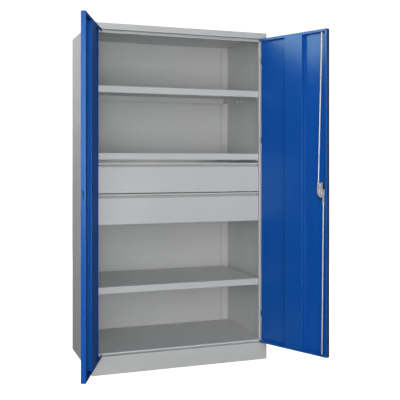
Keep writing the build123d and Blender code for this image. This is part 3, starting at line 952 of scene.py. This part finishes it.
class CABINET_OT_handle(bpy.types.Operator):
    """Makes the turning handle with its wing grip, the rose under it and the key plug"""

    bl_idname = "cabinet.handle"
    bl_label = "Turning handle"

    # Where the grip starts and ends, and its waist: how far from the middle, and what share of width is left
    grip_root = -0.0130
    grip_face = -0.0318
    waist = ((0.0085, 0.86), (0.0115, 0.84), (0.0145, 0.95))

    # Rings of (radius, y) with the shut door's outer face at y = 0
    disc_rings = (
        (SPINDLE_HOLE, -0.0118), (SPINDLE_HOLE, -0.0028), (0.0202, -0.0028), (0.0210, -0.0036),
        (0.0210, -0.0112), (0.0204, -0.0126), (0.0190, -0.0136), (0.0176, -0.0136), (0.0168, -0.0130))
    boss_rings = ((0.0083, -0.0126), (0.0079, -0.0306), (0.0071, -0.0318))
    rose_rings = (
        (0.0258, 0.0), (0.0260, -0.0003), (0.0260, -0.0016), (0.0251, -0.0025), (0.0236, -0.0025),
        (0.0234, -0.0020), (0.0226, -0.0020), (0.0224, -0.0025))
    plug_rings = (
        (0.0055, -0.0158), (0.0055, -0.0312), (0.0051, -0.0318), (0.0044, -0.0318), (0.0042, -0.0315))

    def make_grip(self, lock):
        """Wing grip: a long rounded block, narrower towards its face and waisted at both sides."""
        radius = lock.grip_width / 2
        grip = turned("grip", [(radius, self.grip_root), (radius, self.grip_face)])
        stretch = lock.grip_half - radius
        for side in (-1, 1):
            move_points(grip, lambda co: co.x * side > 0.1 * MM, (side * stretch, 0.0, 0.0))
        waists = sorted((side * at, ratio) for side in (-1, 1) for at, ratio in self.waist)
        for at, _ in waists:
            score_faces(grip, lambda face: True, (at, 0.0, 0.0), (1.0, 0.0, 0.0))
        for at, ratio in waists:
            scale_points(grip, lambda co: abs(co.x - at) < 0.1 * MM, (1.0, 1.0, ratio), (at, 0.0, 0.0))
        scale_points(grip, lambda co: co.y < self.grip_face + 0.1 * MM, (0.94, 1.0, 0.84),
                     (0.0, self.grip_face, 0.0))
        return grip

    def make_handle(self, lock):
        """The disc, its grip and the boss that the key plug sits in, as one moulding."""
        handle = turned("turn_handle_piece", self.disc_rings, 72)
        combine(handle, self.make_grip(lock), "UNION")
        combine(handle, turned("boss", self.boss_rings), "UNION")
        drill(handle, PLUG_HOLE, -0.0158, -0.0328)
        merge_faces(handle, 0.01 * MM, outwards=True)
        break_edges(handle, lock.edge_round, 3, 38.0)
        fit_to_lock(handle, "turn_handle", "black_plastic")

    def make_rose(self):
        """The flat ring between the handle and the door, with a raised rim."""
        rose = turned("handle_rose_piece", self.rose_rings, 72)
        drill(rose, SPINDLE_HOLE, 0.0010, -0.0035)
        merge_faces(rose, 0.01 * MM, outwards=True)
        fit_to_lock(rose, "handle_rose", "black_plastic", FINE_ANGLE)

    def make_plug(self):
        """The key plug with its keyway and the ward beside it."""
        plug = turned("key_plug_piece", self.plug_rings, 40)
        combine(plug, boxed("keyway", (-0.0007, -0.0328, -0.0035), (0.0007, -0.0208, 0.0035)), "DIFFERENCE")
        combine(plug, boxed("ward", (0.0002, -0.0328, -0.0012), (0.0014, -0.0238, 0.0004)), "DIFFERENCE")
        merge_faces(plug, 0.01 * MM, outwards=True)
        fit_to_lock(plug, "key_plug", "nickel", FINE_ANGLE)

    def execute(self, context):
        lock = context.scene.cabinet_lock
        self.make_handle(lock)
        self.make_rose()
        self.make_plug()
        return {"FINISHED"}


class CABINET_OT_lock_case(bpy.types.Operator):
    """Makes the moulded lock case inside the door, its two screws and the cam's screw"""

    bl_idname = "cabinet.lock_case"
    bl_label = "Lock case and screws"

    case_low = (-0.026, 0.0012, -0.035)
    case_high = (0.022, 0.0106, 0.049)
    corner_round = 0.005
    boss_place = (0.015, -0.022)
    screw_places = ((-0.020, 0.017), (0.012, 0.039))

    # Rings of (radius, y) with the shut door's outer face at y = 0
    boss_rings = ((0.0130, 0.0012), (0.0130, 0.0098), (0.0122, 0.0106), (0.0102, 0.0106), (0.0098, 0.0101))
    pad_rings = ((0.0064, 0.0090), (0.0064, 0.0102), (0.0060, 0.0106))
    screw_rings = ((0.0045, 0.0082), (0.0045, 0.0103), (0.0042, 0.0106))
    flange_rings = ((0.0080, 0.0140), (0.0080, 0.0147), (0.0076, 0.0151), (0.0058, 0.0153))
    hexagon_rings = ((0.00577, 0.0150), (0.00577, 0.0171), (0.0050, 0.0176))

    # Half the length and half the width of a screw's cross recess, where it starts, and where cuts end
    recess_long = 0.0027
    recess_wide = 0.0006
    recess_floor = 0.0092
    clear_of_case = 0.0116

    def make_case(self):
        """Upright case with rounded corners, a sunk panel, a round boss and its holes."""
        case = boxed("lock_housing_piece", self.case_low, self.case_high)

        def runs_deep(edge):
            """Whether an edge runs from the case's front to its back."""
            start, end = (case.data.vertices[index].co for index in edge.vertices)
            return abs(start.y - end.y) > MM

        select_where(case, "EDGE", runs_deep)
        bpy.ops.mesh.bevel(offset=self.corner_round, segments=6, affect="EDGES")
        bpy.ops.object.mode_set(mode="OBJECT")
        face_place = self.case_high[1] - 0.1 * MM
        select_where(case, "FACE", lambda face: face.normal.y > 0.9 and face.center.y > face_place)
        bpy.ops.mesh.inset(thickness=1.6 * MM, depth=0.0)
        bpy.ops.mesh.inset(thickness=0.4 * MM, depth=-0.5 * MM)
        bpy.ops.object.mode_set(mode="OBJECT")
        combine(case, turned("boss", self.boss_rings, 56, self.boss_place), "UNION")
        for spot in self.screw_places:
            combine(case, turned("pad", self.pad_rings, 32, spot), "UNION")
            drill(case, self.screw_rings[0][0], self.screw_rings[0][1], self.clear_of_case, 32, spot)
        drill(case, SPINDLE_HOLE, 0.0, self.clear_of_case)
        merge_faces(case, 0.01 * MM, outwards=True)
        break_edges(case, 0.4 * MM, 2, 50.0)
        fit_to_lock(case, "lock_housing", "black_plastic")

    def make_case_screws(self):
        """Flush screws with a cross recess."""
        heads = []
        for across, up in self.screw_places:
            head = turned("case_screw", self.screw_rings, 32, (across, up))
            for wide, high in ((self.recess_long, self.recess_wide), (self.recess_wide, self.recess_long)):
                slot = boxed("recess", (across - wide, self.recess_floor, up - high),
                             (across + wide, self.clear_of_case, up + high))
                combine(head, slot, "DIFFERENCE")
            merge_faces(head, 0.01 * MM, outwards=True)
            heads.append(head)
        deselect()
        for head in heads:
            head.select_set(True)
        bpy.context.view_layer.objects.active = heads[0]
        bpy.ops.object.join()
        name_piece(heads[0], "case_screws_piece")
        fit_to_lock(heads[0], "case_screws", "zinc", FINE_ANGLE)

    def make_cam_screw(self):
        """Hexagon screw with a pressed flange."""
        screw = turned("cam_screw_piece", self.flange_rings)
        combine(screw, turned("head", self.hexagon_rings, 6), "UNION")
        merge_faces(screw, 0.01 * MM, outwards=True)
        break_edges(screw, 0.2 * MM, 2, 35.0)
        fit_to_lock(screw, "cam_screw", "zinc", FINE_ANGLE)

    def execute(self, context):
        self.make_case()
        self.make_case_screws()
        self.make_cam_screw()
        return {"FINISHED"}


STEPS = (
    CABINET_OT_stage, CABINET_OT_carcass, CABINET_OT_doors, CABINET_OT_hardware, CABINET_OT_handle,
    CABINET_OT_lock_case,
)
GROUPS = {
    "cabinet_paint": CabinetPaint, "cabinet_metal": CabinetMetal, "cabinet_post": CabinetPost,
    "cabinet_doors": CabinetDoors, "cabinet_lock": CabinetLock, "cabinet_studio": CabinetStudio,
}


class CABINET_PT_panel(bpy.types.Panel):
    """Lists the cabinet's settings and steps"""

    bl_idname = "CABINET_PT_panel"
    bl_label = "Storage cabinet"
    bl_space_type = "VIEW_3D"
    bl_region_type = "UI"
    bl_category = "Cabinet"

    def draw(self, context):
        for name, group in GROUPS.items():
            box = self.layout.box()
            for setting in group.__annotations__:
                box.prop(getattr(context.scene, name), setting)
        for step in STEPS:
            self.layout.operator(step.bl_idname)


def register():
    """Registers the settings, the steps and the panel."""
    for name, group in GROUPS.items():
        bpy.utils.register_class(group)
        setattr(bpy.types.Scene, name, bpy.props.PointerProperty(type=group))
    for step in STEPS:
        bpy.utils.register_class(step)
    bpy.utils.register_class(CABINET_PT_panel)


def unregister():
    """Takes the panel, the steps and the settings away again."""
    bpy.utils.unregister_class(CABINET_PT_panel)
    for step in reversed(STEPS):
        bpy.utils.unregister_class(step)
    for name, group in reversed(list(GROUPS.items())):
        delattr(bpy.types.Scene, name)
        bpy.utils.unregister_class(group)


def main():
    """Makes the whole cabinet."""
    register()
    bpy.ops.cabinet.stage()
    bpy.ops.cabinet.carcass()
    bpy.ops.cabinet.doors()
    bpy.ops.cabinet.hardware()
    bpy.ops.cabinet.handle()
    bpy.ops.cabinet.lock_case()
    deselect()


if __name__ == "__main__":
    main()
